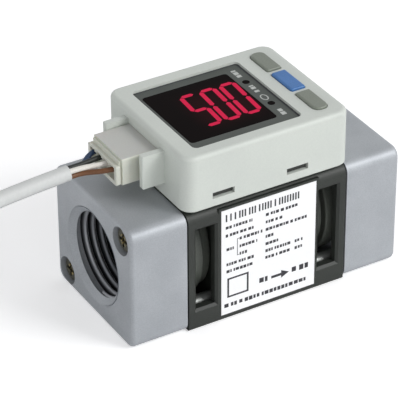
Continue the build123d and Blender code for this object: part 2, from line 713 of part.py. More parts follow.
def plug_section(x0, x1, inset=0.0, grow_z=0.0):
    """Length of the plug's rectangular section."""
    return block(
        x0,
        x1,
        PLUG_NEAR + inset,
        PLUG_FAR - inset,
        PLUG_BOTTOM + inset - grow_z,
        PLUG_TOP - inset + grow_z,
    )


def head_case():
    """Case of the display head: walls, panel recess, key holes, snap slots and the plug's cheeks."""
    case = plate(0, 0, HEAD_LENGTH, HEAD_WIDTH, HEAD_CORNER, HEAD_BOTTOM, HEAD_TOP)
    case = fillet(case.faces().sort_by(Axis.Z)[-1].edges(), HEAD_TOP_ROUND)
    case = chamfer(case.faces().sort_by(Axis.Z)[0].edges(), HEAD_FOOT_BEVEL)
    case += cheeks()
    case -= plate(0, 0, 2 * INNER_X, 2 * INNER_Y, INNER_CORNER, HEAD_BOTTOM, HEAD_CEILING)
    opening = (PANEL_LENGTH + 2 * PANEL_GAP, PANEL_WIDTH + 2 * PANEL_GAP)
    case -= plate(PANEL_X, PANEL_Y, *opening, PANEL_CORNER, PANEL_BOTTOM, HEAD_TOP)
    through = (PANEL_LENGTH - 2 * PANEL_LEDGE, PANEL_WIDTH - 2 * PANEL_LEDGE)
    case -= plate(PANEL_X, PANEL_Y, *through, PANEL_LEDGE, HEAD_CEILING, PANEL_BOTTOM)
    for y, *shape in KEYS.values():
        hole = Pos(KEY_X, y, HEAD_CEILING) * offset(key_outline(*shape), KEY_GAP)
        case -= extrude(hole, HEAD_WALL)
    for x in SLOT_CENTRES:
        half = SLOT_WIDTH / 2
        case -= block(
            x - half, x + half, -HALF_HEAD_WIDTH, HALF_HEAD_WIDTH, SLOT_BOTTOM, SLOT_BOTTOM + SLOT_HEIGHT
        )
    return case - plug_section(-HALF_HEAD - PLUG_SEAT, -INNER_X, -PLUG_FIT)


def cheeks():
    """Two guards that stand out of the head's left wall on either side of the plug."""
    near = PLUG_NEAR - CHEEK_GAPS[0]
    far = PLUG_FAR + CHEEK_GAPS[1]
    guards = []
    for y0, y1 in ((near - CHEEK_THICKNESS, near), (far, far + CHEEK_THICKNESS)):
        guard = block(
            -HALF_HEAD - CHEEK_LENGTH, -INNER_X, y0, y1, CHEEK_BOTTOM, CHEEK_BOTTOM + CHEEK_HEIGHT
        )
        guards.append(fillet(guard.faces().sort_by(Axis.X)[0].edges(), CHEEK_EDGE))
    return guards


def display_panel():
    """Face plate of the display, with an opening for the window."""
    panel = plate(
        PANEL_X, PANEL_Y, PANEL_LENGTH, PANEL_WIDTH, PANEL_CORNER - PANEL_GAP, PANEL_BOTTOM, PANEL_TOP
    )
    length, width = GLASS_LENGTH + 2 * GLASS_GAP, GLASS_WIDTH + 2 * GLASS_GAP
    return panel - plate(GLASS_X, GLASS_Y, length, width, GLASS_CORNER, PANEL_BOTTOM, PANEL_TOP)


def display_window():
    """Smoked window over the digits."""
    return plate(GLASS_X, GLASS_Y, GLASS_LENGTH, GLASS_WIDTH, GLASS_CORNER, PANEL_BOTTOM, PANEL_TOP)


def digit_module():
    """Digit display that stands on the main board under the window."""
    half_length, half_width = GLASS_LENGTH / 2 - MODULE_MARGIN, GLASS_WIDTH / 2 - MODULE_MARGIN
    return block(
        GLASS_X - half_length,
        GLASS_X + half_length,
        GLASS_Y - half_width,
        GLASS_Y + half_width,
        BOARD_TOP,
        PANEL_BOTTOM,
    )


def output_leds():
    """Two round output lamps under the panel."""
    return [post(LED_RADIUS, LED_X, y, BOARD_TOP, PANEL_BOTTOM - LED_GAP) for y in LED_Y]


def main_board():
    """Circuit board of the head."""
    half_width = INNER_Y - BOARD_EDGE_GAP
    return block(
        BOARD_LEFT, INNER_X - BOARD_EDGE_GAP, -half_width, half_width, BOARD_BOTTOM, BOARD_TOP
    )


def tact_switches():
    """Push switch under each key, clear of the plunger until the key is fully down."""
    switches = []
    for y, *_ in KEYS.values():
        body = Pos(KEY_X, y, BOARD_TOP + SWITCH_HEIGHT / 2) * Box(
            SWITCH_WIDTH, SWITCH_LENGTH, SWITCH_HEIGHT
        )
        top = PLUNGER_END - KEY_TRAVEL - KEY_CLEARANCE
        switches.append(body + post(PLUNGER_RADIUS, KEY_X, y, BOARD_TOP + SWITCH_HEIGHT, top))
    return switches


def pins(grow=0.0):
    """Square pins from the plug's contacts to the underside of the main board."""
    half = PIN_SIDE / 2 + grow
    x0, x1 = PLUG_FRONT - PIN_REACH, BOARD_LEFT + PIN_TAIL
    return [block(x0, x1, y - half, y + half, PIN_Z - half, PIN_Z + half) for y in PIN_YS]


def pin_header():
    """Insulator that closes the head's socket from inside and carries the pins."""
    nose = plug_section(PLUG_FRONT + HEADER_GAP, -INNER_X)
    collar = plug_section(-INNER_X, -INNER_X + HEADER_DEPTH, -HEADER_MARGIN)
    return nose + collar - pins()


def plug_housing():
    """Plug body with a neck and a rear lip, a mouth for the leads and a channel for each contact."""
    body = plug_section(PLUG_REAR, PLUG_FRONT)
    body = fillet(body.edges().filter_by(Axis.X), PLUG_EDGE)
    body += plug_section(PLUG_REAR - PLUG_NECK, PLUG_REAR, PLUG_NECK_INSET)
    lip = (PLUG_NEAR, PLUG_FAR, PLUG_BOTTOM + PLUG_LIP_LIFT, PLUG_TOP - PLUG_LIP_DROP)
    rim = block(PLUG_END, PLUG_REAR - PLUG_NECK, *lip)
    body += fillet(rim.edges().filter_by(Axis.X), PLUG_EDGE)
    wall = PLUG_MOUTH_WALL
    body -= block(
        PLUG_END,
        PLUG_END + PLUG_MOUTH_DEPTH,
        lip[0] + wall,
        lip[1] - wall,
        lip[2] + wall,
        lip[3] - wall,
    )
    channel = CONTACT_SIDE / 2 + CONTACT_GAP
    for y in PIN_YS:
        body -= block(
            PLUG_END, CONTACT_END, y - channel, y + channel, PIN_Z - channel, PIN_Z + channel
        )
    return body - pins(PIN_FIT)


def plug_contacts():
    """Crimped contacts: a square socket for the pin and a round barrel for the lead."""
    half = CONTACT_SIDE / 2
    contacts = []
    for y in PIN_YS:
        contact = block(CONTACT_START, CONTACT_END, y - half, y + half, PIN_Z - half, PIN_Z + half)
        barrel = rod(LEAD_RADIUS + LEAD_FIT, CONTACT_START, CONTACT_START + CRIMP_DEPTH, y, PIN_Z)
        contacts.append(contact - barrel)
    holes = pins(PIN_FIT / 2)
    return [contact - holes for contact in contacts]


def round_cord(name, route, radius):
    """Round cord along straight runs joined by arcs as large as the runs allow."""
    points = [Vector(*point) for point in route]
    radii = []
    for before, here, after in zip(points, points[1:], points[2:]):
        run, following = here - before, after - here
        half_turn = math.radians(run.get_angle(following)) / 2
        radii.append(0.45 * min(run.length, following.length) / math.tan(half_turn))
    path = FilletPolyline(*points, radius=radii)
    cord = sweep(Plane(path @ 0, z_dir=path % 0) * Circle(radius), path)
    share = cord.volume / (math.pi * radius**2 * path.length)
    print(name, "radii", [round(r, 1) for r in radii], "length", round(path.length, 1), round(share, 4))
    return cord


def leads(sheath):
    """The four leads, from their contacts to the cut end of the sheath, outer ones below inner ones."""
    names = ("lead_brown", "lead_white", "lead_black", "lead_blue")
    x_end, y_end, z_end = SHEATH_ROUTE[0]
    made = {}
    for i, (name, y) in enumerate(zip(names, PIN_YS)):
        y1 = y_end + math.copysign(CORE_SPACING / 2, y - PLUG_Y)
        z1 = z_end + (CORE_SPACING / 2 if i in (1, 2) else -CORE_SPACING / 2)
        route = (
            (CONTACT_START + CRIMP_DEPTH, y, PIN_Z),
            (PLUG_END - LEAD_BEND, y, PIN_Z),
            (x_end + LEAD_GATHER, y1, z1),
            (x_end - LEAD_RADIUS, y1, z1),
        )
        made[name] = round_cord(name, route, LEAD_RADIUS) - sheath
    return made


def tie_slab(inset, z0, z1):
    """Slab through the bundle of turns at the far side of the coil, inset from its outside."""
    x, y = COIL_CENTRE[0], COIL_CENTRE[1] + COIL_RADIUS
    half = COIL_WIDTH / 2 - inset
    return block(x - TIE_WIDTH / 2, x + TIE_WIDTH / 2, y - half, y + half, z0, z1)


def cord_coil():
    """Outer form of the coiled cable, with a notch for its tie."""
    outline = Pos(COIL_RADIUS, COIL_HEIGHT / 2) * RectangleRounded(
        COIL_WIDTH, COIL_HEIGHT, SHEATH_RADIUS * 0.9
    )
    coil = Pos(*COIL_CENTRE, 0) * revolve(Plane.XZ * outline, Axis.Z)
    core = tie_slab(TIE_THICKNESS, TIE_THICKNESS, COIL_HEIGHT - TIE_THICKNESS)
    return coil - (tie_slab(-SHEATH_RADIUS, -SHEATH_RADIUS, COIL_HEIGHT + SHEATH_RADIUS) - core)


def coil_tie():
    """Strap round the bundle of turns."""
    strap = tie_slab(0, 0, COIL_HEIGHT)
    strap = fillet(strap.edges().filter_by(Axis.X), SHEATH_RADIUS)
    return strap - tie_slab(TIE_THICKNESS, TIE_THICKNESS, COIL_HEIGHT - TIE_THICKNESS)


def face_seal(side):
    """O-ring in the end face towards one block, in the middle of its groove's depth."""
    return seal(FACE_SEAL_RADIUS, FACE_SEAL_SECTION, side * (BODY_END - FACE_GROOVE_DEPTH / 2))


def socket_seal():
    """O-ring between the collar's socket and the tube."""
    radius = TUBE_RADIUS - (SOCKET_GROOVE_DEPTH - SOCKET_FIT) / 2
    x = TUBE_START + SOCKET_GROOVE_OFFSET + SOCKET_GROOVE_WIDTH / 2
    return seal(radius, SOCKET_SEAL_SECTION, x)


def turn_round(shapes):
    """The same pieces at the outlet: half a turn about Z."""
    return [Rot(0, 0, 180) * shape for shape in shapes]


nodes = {
    "inlet_block": port_block(),
    "outlet_block": Rot(0, 0, 180) * port_block(),
    "inlet_tie_bolts": tie_bolts(),
    "outlet_tie_bolts": turn_round(tie_bolts()),
    "body_frame": body_frame(),
    "name_label": label_plate(),
    "inlet_collar": inlet_collar(),
    "flow_tube": flow_tube(),
    "flow_screens": flow_screens(),
    "spacer_rings": spacer_rings(),
    "inlet_o_ring": face_seal(-1),
    "outlet_o_ring": face_seal(1),
    "socket_o_ring": socket_seal(),
    "sensor_gasket": gasket_ring(BOSS_TOP - GASKET_GROOVE, CHAMBER_FLOOR),
    "flow_chip": flow_chip(),
    "sensor_board": sensor_board(),
    "board_link": board_link(),
    "head_gasket": head_gasket(),
    "head_base": head_base(),
    "head_screws": head_screws(),
    "head_case": head_case(),
    "display_panel": display_panel(),
    "display_window": display_window(),
    "digit_module": digit_module(),
    "output_leds": output_leds(),
    "main_board": main_board(),
    "tact_switches": tact_switches(),
    "pin_header": pin_header(),
    "header_pins": pins(),
    "plug_housing": plug_housing(),
    "plug_contacts": plug_contacts(),
    "cord_coil": cord_coil(),
    "coil_tie": coil_tie(),
}
nodes |= {name: key(*values) for name, values in KEYS.items()}
nodes["cord_sheath"] = round_cord("cord_sheath", SHEATH_ROUTE, SHEATH_RADIUS) - nodes["cord_coil"]
nodes |= leads(nodes["cord_sheath"])

os.makedirs("parts", exist_ok=True)
for name, shape in nodes.items():
    export_step(Compound(shape) if isinstance(shape, list) else shape, f"parts/{name}.step")
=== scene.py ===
"""Digital flow switch for air: its finishes, pipe threads, print, display, cable, light and camera.

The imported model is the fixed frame, in metres: X along the flow, -Y the labelled front, Z up.
"""

import math
import random

import bmesh
import bpy
from mathutils import Matrix, Vector


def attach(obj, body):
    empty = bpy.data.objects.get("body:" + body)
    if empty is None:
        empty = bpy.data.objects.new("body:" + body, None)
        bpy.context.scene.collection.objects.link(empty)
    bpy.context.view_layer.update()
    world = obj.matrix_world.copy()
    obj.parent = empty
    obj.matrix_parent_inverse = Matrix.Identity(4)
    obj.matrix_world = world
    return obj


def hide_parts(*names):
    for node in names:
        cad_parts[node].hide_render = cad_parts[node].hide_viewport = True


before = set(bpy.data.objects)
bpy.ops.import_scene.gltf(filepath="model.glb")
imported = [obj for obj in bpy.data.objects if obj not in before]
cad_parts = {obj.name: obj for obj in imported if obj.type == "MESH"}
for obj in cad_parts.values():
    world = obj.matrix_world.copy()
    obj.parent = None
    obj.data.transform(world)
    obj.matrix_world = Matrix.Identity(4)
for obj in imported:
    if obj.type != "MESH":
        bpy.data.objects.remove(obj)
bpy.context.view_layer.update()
MM = 0.001


# Port blocks
# One aluminium casting used twice, blasted to a matt silver with a fine grit. The faces that take
# the pipe and the body are machined flat after casting.

# Colour sockets of a Mix node: its two inputs and its output.
MIX_LOW, MIX_HIGH, MIX_RESULT = 6, 7, 2


class Socket:
    """Output of a node. Sums on it add Math nodes to its tree, and add() makes any other node."""

    def __init__(self, tree, link=None):
        self.tree, self.link = tree, link

    def add(self, kind, settings=None, sockets=None, output=0):
        """New node: its settings are made first, then the values or links of its sockets."""
        node = self.tree.nodes.new(kind)
        for name, value in (settings or {}).items():
            setattr(node, name, value)
        for name, value in (sockets or {}).items():
            if isinstance(value, Socket):
                self.tree.links.new(value.link, node.inputs[name])
            else:
                node.inputs[name].default_value = value
        return Socket(self.tree, node.outputs[output])

    def math(self, operation, *terms):
        return self.add("ShaderNodeMath", {"operation": operation}, dict(enumerate(terms)))

    def __add__(self, other):
        return self.math("ADD", self, other)

    def __sub__(self, other):
        return self.math("SUBTRACT", self, other)

    def __rsub__(self, other):
        return self.math("SUBTRACT", other, self)

    def __mul__(self, other):
        return self.math("MULTIPLY", self, other)

    def __abs__(self):
        return self.math("ABSOLUTE", self)

    __radd__ = __add__
    __rmul__ = __mul__

    def sine(self):
        """Sine of this angle."""
        return self.math("SINE", self)

    def parts(self):
        """The x, y and z of a vector."""
        return [self.add("ShaderNodeSeparateXYZ", {}, {0: self}, axis) for axis in range(3)]

    def noise(self, cell, detail=2.0):
        """Noise whose cells are about as large as cell, in this vector's own unit."""
        sockets = {"Vector": self, "Scale": 1 / cell, "Detail": detail}
        return self.add("ShaderNodeTexNoise", {}, sockets)

    def step(self, low, high):
        """0 below low, 1 above high and smooth between them."""
        limits = {"Value": self, "From Min": low, "From Max": high}
        return self.add("ShaderNodeMapRange", {"interpolation_type": "SMOOTHSTEP"}, limits)

    def mix(self, low, high):
        """Colour that goes from low to high as this goes from 0 to 1."""
        sockets = {0: self, MIX_LOW: low, MIX_HIGH: high}
        return self.add("ShaderNodeMix", {"data_type": "RGBA"}, sockets, MIX_RESULT)

    def bump(self, height):
        """Relief as high as height, in millimetres."""
        sockets = {"Height": self, "Distance": height * MM, "Strength": 1.0}
        return self.add("ShaderNodeBump", {}, sockets)


def paint(red, green, blue):
    """Colour from the numbers of a paint card, 0 to 255, as linear light."""
    shares = (red / 255, green / 255, blue / 255)
    return (*[v / 12.92 if v <= 0.04045 else ((v + 0.055) / 1.055) ** 2.4 for v in shares], 1.0)


def start_finish(name, constants=None):
    """New material, and the place on the surface in millimetres."""
    material = bpy.data.materials.new(name)
    material.use_nodes = True
    shader = material.node_tree.nodes["Principled BSDF"]
    for socket, value in (constants or {}).items():
        shader.inputs[socket].default_value = value
    place = Socket(material.node_tree).add("ShaderNodeTexCoord", output="Object")
    sockets = {0: place, "Scale": 1 / MM}
    return material, place.add("ShaderNodeVectorMath", {"operation": "SCALE"}, sockets)


def feed(material, links):
    """Links what changes over the surface to the main shader."""
    shader = material.node_tree.nodes["Principled BSDF"]
    for socket, value in links.items():
        material.node_tree.links.new(value.link, shader.inputs[socket])
    return material


def dress(material, *names):
    """Gives a material to nodes of the model."""
    for name in names:
        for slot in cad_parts[name].material_slots:
            slot.material = material


def cast_metal():
    """Blasted aluminium: fine grit in its relief and gloss, and faint flow marks of the casting."""
    material, place = start_finish("cast_aluminium", {"Metallic": 0.35})
    grit = place.noise(0.28, 3.0)
    flow = place.noise(9.0, 4.0)
    tone = (flow * 0.5 + grit * 0.5).step(0.2, 0.8)
    return feed(material, {
        "Base Color": tone.mix(paint(164, 168, 173), paint(192, 196, 200)),
        "Roughness": 0.44 + grit * 0.16,
        "Normal": grit.bump(0.014),
    })


dress(cast_metal(), "inlet_block", "outlet_block")


# Pipe threads
# Taper pipe threads cut in both ports, with a turned lead-in at the mouth. A painted highlight
# lightens the crests. The roots are dark with cutting oil and painted shade, and painted shade
# darkens the port further in.

PORT_FACE = 32.0
FLOW_Z = 14.0
THREAD_RADIUS = 10.478
THREAD_CREST = 9.32
THREAD_PITCH = 1.814
THREAD_TURNS = 5.5
# Painted highlight on the crests fades over the first span, by radius; painted shade over the
# second, by depth.
CREST_HIGHLIGHT_SPAN = (THREAD_CREST + 0.1, THREAD_CREST + 0.9)
DEPTH_SHADE = (1.0, 9.0)
LEAD_IN = 1.16
LEAD_IN_BACK = 0.5
RING_STEPS = 72

# The ridge's root lies a little inside the wall. Its widths are shares of the pitch.
RIDGE_ROOT = THREAD_RADIUS + 0.04
RIDGE_ROOT_WIDTH = 0.96
RIDGE_CREST_WIDTH = 0.14


def tree_of(name, sizes):
    """New Geometry Nodes tree with a named input for each size."""
    tree = bpy.data.node_groups.new(name, "GeometryNodeTree")
    tree.interface.new_socket("Geometry", in_out="OUTPUT", socket_type="NodeSocketGeometry")
    for label, value in sizes.items():
        kind = "NodeSocketInt" if isinstance(value, int) else "NodeSocketFloat"
        tree.interface.new_socket(label, in_out="INPUT", socket_type=kind)
    entry = tree.nodes.new("NodeGroupInput")
    return tree, {label: Socket(tree, entry.outputs[label]) for label in sizes}


def grow(name, tree, result, sizes, material):
    """Ends a tree, runs it with its sizes and returns the plain mesh as an object."""
    result = result.add("GeometryNodeRealizeInstances", {}, {"Geometry": result})
    sockets = {"Geometry": result, "Material": material}
    result = result.add("GeometryNodeSetMaterial", {}, sockets)
    exit_node = tree.nodes.new("NodeGroupOutput")
    tree.links.new(result.link, exit_node.inputs["Geometry"])
    grown = bpy.data.objects.new(name, bpy.data.meshes.new(name))
    bpy.context.scene.collection.objects.link(grown)
    modifier = grown.modifiers.new("grow", "NODES")
    modifier.node_group = tree
    for item in tree.interface.items_tree:
        if item.in_out == "INPUT":
            modifier[item.identifier] = sizes[item.name]
    ready = grown.evaluated_get(bpy.context.evaluated_depsgraph_get())
    mesh = bpy.data.meshes.new_from_object(ready)
    grown.modifiers.clear()
    grown.data = mesh
    return grown


def from_axis(place, axis_y, axis_z):
    """How far a place is from the line along x at axis_y and axis_z."""
    _, y, z = place.parts()
    across = place.add("ShaderNodeCombineXYZ", {}, {0: 0.0, 1: y - axis_y, 2: z - axis_z})
    return place.add("ShaderNodeVectorMath", {"operation": "LENGTH"}, {0: across}, "Value")


def thread_metal():
    """Cut aluminium: painted highlight on the rubbed crests, painted shade in the roots and further
    in.
    """
    material, place = start_finish("cut_thread", {"Metallic": 0.4})
    # Painted highlight on the crests, and painted shade deeper in the port.
    crest_highlight = 1 - from_axis(place, 0.0, FLOW_Z).step(*CREST_HIGHLIGHT_SPAN)
    depth = (PORT_FACE - abs(place.parts()[0])).step(*DEPTH_SHADE)
    scratch = place.noise(0.35, 3.0)
    bright = depth.mix(paint(196, 198, 203), paint(112, 116, 122))
    return feed(material, {
        "Base Color": (crest_highlight * (0.8 + scratch * 0.3)).mix(paint(26, 27, 31), bright),
        "Roughness": 0.36 + scratch * 0.2,
    })


def thread_ridge(name, material, side):
    """Ridge of the thread: a blunt triangle that follows a spiral just inside the port's wall."""
    sizes = {
        "Turns": THREAD_TURNS,
        "Pitch": THREAD_PITCH * MM,
        "Radius": RIDGE_ROOT * MM,
        "Height": (RIDGE_ROOT - THREAD_CREST) * MM,
        "Steps": RING_STEPS,
    }
    tree, size = tree_of(name, sizes)
    spiral = Socket(tree).add("GeometryNodeCurveSpiral", {}, {
        "Resolution": size["Steps"],
        "Rotations": size["Turns"],
        "Start Radius": size["Radius"],
        "End Radius": size["Radius"],
        "Height": size["Turns"] * size["Pitch"],
    })
    spiral = spiral.add("GeometryNodeSetCurveNormal", {"mode": "Z_UP"}, {"Curve": spiral})
    section = spiral.add("GeometryNodeCurvePrimitiveQuadrilateral", {"mode": "TRAPEZOID"}, {
        "Height": size["Height"],
        "Bottom Width": size["Pitch"] * RIDGE_ROOT_WIDTH,
        "Top Width": size["Pitch"] * RIDGE_CREST_WIDTH,
        "Offset": 0.0,
    })
    centred = section.add("ShaderNodeCombineXYZ", {}, {0: 0.0, 1: size["Height"] * 0.5, 2: 0.0})
    sockets = {"Geometry": section, "Translation": centred}
    section = section.add("GeometryNodeTransform", {}, sockets)
    sockets = {"Geometry": section, "Rotation": (0.0, 0.0, -math.pi / 2)}
    section = section.add("GeometryNodeTransform", {}, sockets)
    ridge = section.add("GeometryNodeCurveToMesh", {}, {
        "Curve": spiral,
        "Profile Curve": section,
        "Fill Caps": True,
    })
    start = side * (PORT_FACE - LEAD_IN - THREAD_PITCH / 2) * MM
    ridge = ridge.add("GeometryNodeTransform", {}, {
        "Geometry": ridge,
        "Rotation": (0.0, -side * math.pi / 2, 0.0),
        "Translation": (start, 0.0, FLOW_Z * MM),
    })
    return grow(name, tree, ridge, sizes, material)


def show(name, form, material, body="housing"):
    """Puts a bmesh in the scene as a piece that rides on a body."""
    bmesh.ops.recalc_face_normals(form, faces=form.faces)
    mesh = bpy.data.meshes.new(name)
    form.to_mesh(mesh)
    form.free()
    mesh.materials.append(material)
    piece = bpy.data.objects.new(name, mesh)
    bpy.context.scene.collection.objects.link(piece)
    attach(piece, body)
    return piece


def turned_ring(name, section, material):
    """Ring turned about the flow axis from its closed section of (x, radius), in millimetres."""
    form = bmesh.new()
    rings = []
    for i in range(RING_STEPS):
        angle = i * math.tau / RING_STEPS
        rings.append([
            form.verts.new((x * MM, r * math.sin(angle) * MM, (FLOW_Z + r * math.cos(angle)) * MM))
            for x, r in section
        ])
    for i, ring in enumerate(rings):
        after = rings[(i + 1) % RING_STEPS]
        for j in range(len(section)):
            k = (j + 1) % len(section)
            form.faces.new((ring[j], ring[k], after[k], after[j]))
    return show(name, form, material)


thread_finish_and_shade = thread_metal()
lead_finish = cast_metal()
for port, side in (("inlet", -1), ("outlet", 1)):
    ridge = thread_ridge(f"{port}_thread", thread_finish_and_shade, side)
    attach(ridge, "housing")
    mouth, inner = side * PORT_FACE, side * (PORT_FACE - LEAD_IN)
    back = inner - side * LEAD_IN_BACK
    section = [(mouth, RIDGE_ROOT), (inner, THREAD_CREST), (back, RIDGE_ROOT)]
    turned_ring(f"{port}_lead_in", section, lead_finish)


# Tie bolts and screws
# Pan-head steel bolts. Their heads have a dull olive plating, with a brassy painted highlight round
# the cross recess. The shanks and the small screws inside are a plain zinc grey.

BOLT_AXES = {
    "inlet_tie_bolts": ((-11.8, 24.4), (11.8, 3.6)),
    "outlet_tie_bolts": ((11.8, 24.4), (-11.8, 3.6)),
}
UNDER_HEAD = (29.2, 29.4)
# Radii, in mm from each bolt's axis, over which the brassy painted highlight fades.
RECESS_HIGHLIGHT_RING = (0.9, 1.5)


def bolt_plating(name, axes):
    """Zinc grey shanks and olive heads, with a brassy painted highlight near each bolt's own axis.
    """
    material, place = start_finish(name, {"Metallic": 0.6})
    speck = place.noise(0.5, 3.0)
    # Painted highlight round each cross recess.
    recess_highlight = 0.0
    for bolt_y, bolt_z in axes:
        recess_highlight += 1 - from_axis(place, bolt_y, bolt_z).step(*RECESS_HIGHLIGHT_RING)
    head = abs(place.parts()[0]).step(*UNDER_HEAD)
    plating_and_highlight = (recess_highlight * speck.step(0.45, 0.65)).mix(paint(80, 79, 66), paint(190, 170, 112))
    return feed(material, {
        "Base Color": head.mix(paint(150, 153, 150), plating_and_highlight),
        "Roughness": 0.34 + speck * 0.2,
        "Normal": speck.bump(0.01),
    })


for bolts, axes in BOLT_AXES.items():
    dress(bolt_plating(f"{bolts}_plating", axes), bolts)
dress(bolt_plating("screw_plating", ()), "head_screws")


# Body
# One moulding of glass-filled resin, dark grey-green with a fine spark texture. The blocks squeeze
# it between them, and the flanges of the collar and the flow tube show through its windows.


def resin(name, shade, colour, cell, relief, rough, constants=None):
    """Moulded plastic, faintly cloudy, with a texture of this cell and relief in millimetres."""
    material, place = start_finish(name, constants)
    grain = place.noise(cell, 2.0)
    cloud = place.noise(12.0, 3.0)
    return feed(material, {
        "Base Color": (grain * 0.45 + cloud * 0.55).step(0.25, 0.75).mix(shade, colour),
        "Roughness": rough - 0.06 + grain * 0.12,
        "Normal": grain.bump(relief),
    })


dress(resin("body_resin", paint(38, 41, 38), paint(52, 56, 51), 0.22, 0.012, 0.5), "body_frame")
dress(
    resin("tube_resin", paint(76, 80, 74), paint(94, 98, 91), 0.3, 0.008, 0.4),
    "flow_tube", "inlet_collar", "spacer_rings",
)


# Flow path, seals and sensor
# Woven steel screens straighten the flow. The seals are nitrile rubber, and the sensor sits on a
# small board over the tube.

WIRES_PER_MM = 2


def rubber(name):
    """Black rubber with a dusty bloom."""
    material, place = start_finish(name)
    bloom = place.noise(0.8, 4.0)
    return feed(material, {
        "Base Color": bloom.mix(paint(18, 18, 18), paint(44, 44, 43)),
        "Roughness": 0.55 + bloom * 0.25,
        "Normal": bloom.bump(0.01),
    })


def woven_steel():
    """Steel mesh: wires across and along, one over the other."""
    material, place = start_finish("screen_steel", {"Metallic": 0.9})
    _, y, z = place.parts()
    weave = math.tau * WIRES_PER_MM
    wire = ((y * weave).sine() * (z * weave).sine()).step(-1.0, 1.0)
    return feed(material, {
        "Base Color": wire.mix(paint(120, 120, 118), paint(190, 190, 186)),
        "Roughness": 0.3 + wire * 0.2,
        "Normal": wire.bump(0.05),
    })


def circuit_board():
    """Green laminate with darker tracks under the mask."""
    material, place = start_finish("circuit_board")
    sockets = {"Vector": place, "Scale": 0.7}
    track = place.add("ShaderNodeTexVoronoi", {"distance": "MANHATTAN"}, sockets).step(0.35, 0.45)
    return feed(material, {
        "Base Color": track.mix(paint(20, 92, 52), paint(12, 66, 38)),
        "Roughness": 0.32 + track * 0.15,
        "Normal": track.bump(0.02),
    })


dress(
    rubber("seal_rubber"),
    "inlet_o_ring", "outlet_o_ring", "socket_o_ring", "sensor_gasket", "head_gasket",
)
dress(woven_steel(), "flow_screens")
dress(circuit_board(), "sensor_board", "main_board")
dress(
    resin("chip_resin", paint(20, 20, 22), paint(34, 34, 36), 0.2, 0.005, 0.45),
    "flow_chip", "board_link", "tact_switches",
)


# Name label
# White film let into the front of the body, printed in near-black. Its print is plain rules and
# blocks: a heading, two columns of rows, an arrow in the direction of the flow and a foot line.

LABEL_FRONT = -16.0
PRINT_DEPTH = 0.012

# Rows and the arrow: left end, right end and middle, then heights. Boxes: four sides and a line.
HEADING = (-10.1, 7.6, 24.75, 1.7)
LEFT_ROWS = (
    (-10.1, -3.8, 22.4), (-10.1, -3.5, 20.5), (-6.8, -1.4, 18.9), (-9.9, -8.0, 17.1),
    (-6.8, -2.6, 17.0), (-6.8, -4.6, 15.2), (-9.9, -3.4, 13.4), (-9.9, -3.4, 11.7),
)
RIGHT_ROWS = (
    (-0.6, 7.0, 22.5), (-0.6, 3.4, 20.7), (-0.6, 9.3, 18.9), (-0.6, 1.7, 17.2), (-0.6, 2.5, 15.4),
    (-0.6, 5.4, 13.7), (6.5, 8.4, 13.7), (-0.6, 5.4, 12.0), (6.5, 8.3, 12.0),
)
ROW_HEIGHT = 0.72
ARROW = (0.9, 5.2, 6.6, 0.62, 1.9)
ARROW_ENDS = ((-2.0, 0.0, 6.7), (5.9, 9.9, 6.7))
ARROW_END_HEIGHT = 1.3
FOOT_LINE = (-10.4, 9.9, 3.3, 0.95)
FRAME_MARK = (-9.7, -4.6, 5.2, 10.0, 0.42)
BRACKET = (-7.4, -6.9, 15.0, 19.1, 0.14)

# Blocks of a row, in heights of the row, and steps of the heading, in widths of its stroke.
BLOCK_LEAST = 0.3
BLOCK_WIDTHS = (0.45, 1.1)
BLOCK_DROPS = (0.38, 0.5)
BLOCK_GAPS = (0.22, 0.22, 0.3, 0.6)
HEADING_STROKE = 0.36
HEADING_STEPS = (1.8, 1.8, 2.1, 2.9)


def prisms(name, outlines, to_point, depth, material, body="housing"):
    """Thin plates on a surface: to_point turns (u, v, height) into a place, in millimetres."""
    form = bmesh.new()
    for outline in outlines:
        low, high = (
            [form.verts.new(Vector(to_point(u, v, height)) * MM) for u, v in outline]
            for height in (0, depth)
        )
        form.faces.new(low)
        form.faces.new(high)
        for i in range(len(outline)):
            j = (i + 1) % len(outline)
            form.faces.new((low[i], low[j], high[j], high[i]))
    return show(name, form, material, body)


def bar(u0, u1, v0, v1):
    """Outline of a straight block."""
    return [(u0, v0), (u1, v0), (u1, v1), (u0, v1)]


def dashes(u0, u1, v, height, chance):
    """Row of short blocks from u0 to u1, with narrow gaps, in the rhythm of small print."""
    blocks, u = [], u0
    while u < u1 - height * BLOCK_LEAST:
        width = min(height * chance.uniform(*BLOCK_WIDTHS), u1 - u)
        drop = height * chance.uniform(*BLOCK_DROPS)
        blocks.append(bar(u, u + width, v - drop, v + height / 2))
        u += width + height * chance.choice(BLOCK_GAPS)
    return blocks


def spaced(u0, u1, chance):
    """Left edges of upright strokes from u0 to u1, unevenly spaced."""
    lefts, u = [], u0
    while u < u1 - HEADING_STROKE:
        lefts.append(u)
        u += HEADING_STROKE * chance.choice(HEADING_STEPS)
    return lefts


def framed(u0, u1, v0, v1, line):
    """Four strokes round a box."""
    return [
        bar(u0, u1, v0, v0 + line), bar(u0, u1, v1 - line, v1),
        bar(u0, u0 + line, v0 + line, v1 - line), bar(u1 - line, u1, v0 + line, v1 - line),
    ]


